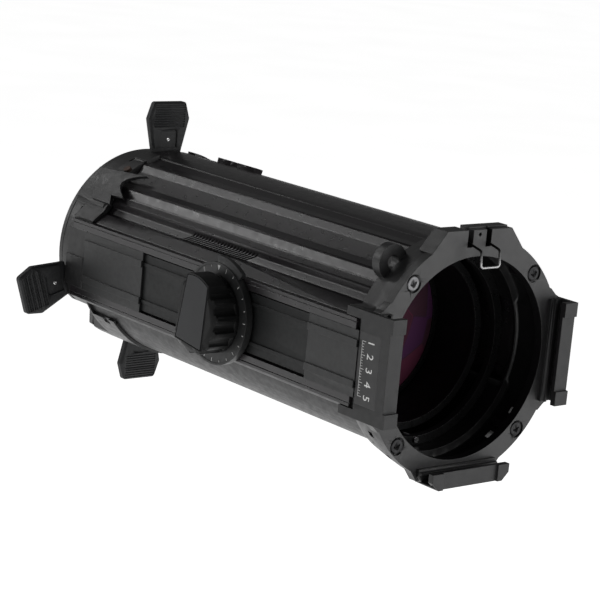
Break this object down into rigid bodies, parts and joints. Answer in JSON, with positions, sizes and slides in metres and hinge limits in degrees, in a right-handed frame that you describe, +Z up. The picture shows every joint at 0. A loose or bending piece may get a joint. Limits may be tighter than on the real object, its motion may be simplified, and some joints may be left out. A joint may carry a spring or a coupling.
{
  "type": "profile spotlight zoom lens tube",
  "caption": "Black zoom lens tube of an ellipsoidal spotlight, with side knobs, colour-frame rails at the front and framing shutters at the rear.",
  "frame": {"origin": "on the optical axis, in the rear mounting face, at the centre of the rear bore", "axes": "+Y along the optical axis towards the lamp house, so the light leaves towards -Y; +Z up; +X to the right seen from the front"},
  "size_m": [0.291, 0.4796, 0.272],
  "materials": {
    "black_casting": "satin black powder coat, fine texture",
    "black_moulding": "satin black, finely textured",
    "knob_plastic": "semi-matt black moulding",
    "knob_inlay": "smooth dark grey",
    "label": "matt black film with white scale marks",
    "screw_steel": "zinc plated",
    "wire_steel": "bright spring wire",
    "rod_steel": "ground and plated",
    "black_inner": "matt black anodised",
    "coated_glass": "anti-reflection coating with purple reflections",
    "blade_steel": "plain stainless steel",
    "grip_plastic": "matt black glass-filled nylon",
    "catch_brass": "dull bronze"
  },
  "bodies": {
    "housing": {"front_plate": "black_casting", "left_frame_rail": "black_casting", "right_frame_rail": "black_casting", "bottom_frame_rail": "black_casting", "front_screws": "screw_steel", "left_range_label": "label", "right_range_label": "label", "front_bezel": "black_casting", "upper_shell": "black_casting", "lower_shell": "black_casting", "left_track": "black_casting", "right_track": "black_casting", "left_front_cover": "black_moulding", "right_front_cover": "black_moulding", "left_rear_cover": "black_moulding", "right_rear_cover": "black_moulding", "left_end_block": "black_casting", "right_end_block": "black_casting", "front_rod_ring": "black_inner", "guide_rods": "rod_steel", "rear_housing": "black_casting", "rear_ring": "black_casting", "shutter_guide_plates": "blade_steel", "slot_catch": "catch_brass"},
    "clip": {"wire_clip": "wire_steel"},
    "left_carriage": {"left_slide_plate": "black_moulding", "left_dial": "black_moulding", "left_arm": "black_inner", "front_lens_cell": "black_inner", "front_lens": "coated_glass", "front_lens_retainer": "black_inner"},
    "left_knob": {"left_knob": "knob_plastic", "left_knob_inlay": "knob_inlay"},
    "right_carriage": {"right_slide_plate": "black_moulding", "right_dial": "black_moulding", "right_arm": "black_inner", "rear_lens_cell": "black_inner", "rear_lens": "coated_glass", "rear_lens_retainer": "black_inner"},
    "right_knob": {"right_knob": "knob_plastic", "right_knob_inlay": "knob_inlay"},
    "cover": {"slot_cover": "black_casting"},
    "top_shoe": {"top_shutter_shoe": "blade_steel"},
    "top_shutter": {"top_shutter_blade": "blade_steel", "top_shutter_grip": "grip_plastic"},
    "left_shoe": {"left_shutter_shoe": "blade_steel"},
    "left_shutter": {"left_shutter_blade": "blade_steel", "left_shutter_grip": "grip_plastic"},
    "right_shoe": {"right_shutter_shoe": "blade_steel"},
    "right_shutter": {"right_shutter_blade": "blade_steel", "right_shutter_grip": "grip_plastic"},
    "bottom_shoe": {"bottom_shutter_shoe": "blade_steel"},
    "bottom_shutter": {"bottom_shutter_blade": "blade_steel", "bottom_shutter_grip": "grip_plastic"}
  },
  "joints": [
    {"name": "clip_flip", "type": "hinge", "parent": "housing", "child": "clip", "pos_m": [0, -0.456, 0.0955], "axis": [-1, 0, 0], "range_deg": [0, 100]},
    {"name": "front_lens_slide", "type": "slide", "parent": "housing", "child": "left_carriage", "axis": [0, 1, 0], "range_m": [-0.029, 0.029]},
    {"name": "left_knob_turn", "type": "hinge", "parent": "left_carriage", "child": "left_knob", "pos_m": [-0.12, -0.266, 0], "axis": [-1, 0, 0], "range_deg": [0, 120]},
    {"name": "rear_lens_slide", "type": "slide", "parent": "housing", "child": "right_carriage", "axis": [0, 1, 0], "range_m": [-0.029, 0.029]},
    {"name": "right_knob_turn", "type": "hinge", "parent": "right_carriage", "child": "right_knob", "pos_m": [0.12, -0.266, 0], "axis": [1, 0, 0], "range_deg": [0, 120]},
    {"name": "slot_cover_slide", "type": "slide", "parent": "housing", "child": "cover", "axis": [0, -1, 0], "range_m": [0, 0.018]},
    {"name": "top_shutter_swing", "type": "hinge", "parent": "housing", "child": "top_shoe", "pos_m": [0, -0.0305, 0.03], "axis": [0, -1, 0], "range_deg": [-20, 20]},
    {"name": "top_shutter_push", "type": "slide", "parent": "top_shoe", "child": "top_shutter", "axis": [0, 0, 1], "range_m": [-0.01, 0.042]},
    {"name": "left_shutter_swing", "type": "hinge", "parent": "housing", "child": "left_shoe", "pos_m": [-0.03, -0.0245, 0], "axis": [0, -1, 0], "range_deg": [-38, 2]},
    {"name": "left_shutter_push", "type": "slide", "parent": "left_shoe", "child": "left_shutter", "axis": [-0.9511, 0, -0.309], "range_m": [-0.02, 0.032]},
    {"name": "right_shutter_swing", "type": "hinge", "parent": "housing", "child": "right_shoe", "pos_m": [0.03, -0.0185, 0], "axis": [0, -1, 0], "range_deg": [-20, 20]},
    {"name": "right_shutter_push", "type": "slide", "parent": "right_shoe", "child": "right_shutter", "axis": [1, 0, 0], "range_m": [-0.01, 0.042]},
    {"name": "bottom_shutter_swing", "type": "hinge", "parent": "housing", "child": "bottom_shoe", "pos_m": [0, -0.0125, -0.03], "axis": [0, -1, 0], "range_deg": [-20, 20]},
    {"name": "bottom_shutter_push", "type": "slide", "parent": "bottom_shoe", "child": "bottom_shutter", "axis": [0, 0, -1], "range_m": [0, 0.052]}
  ]
}
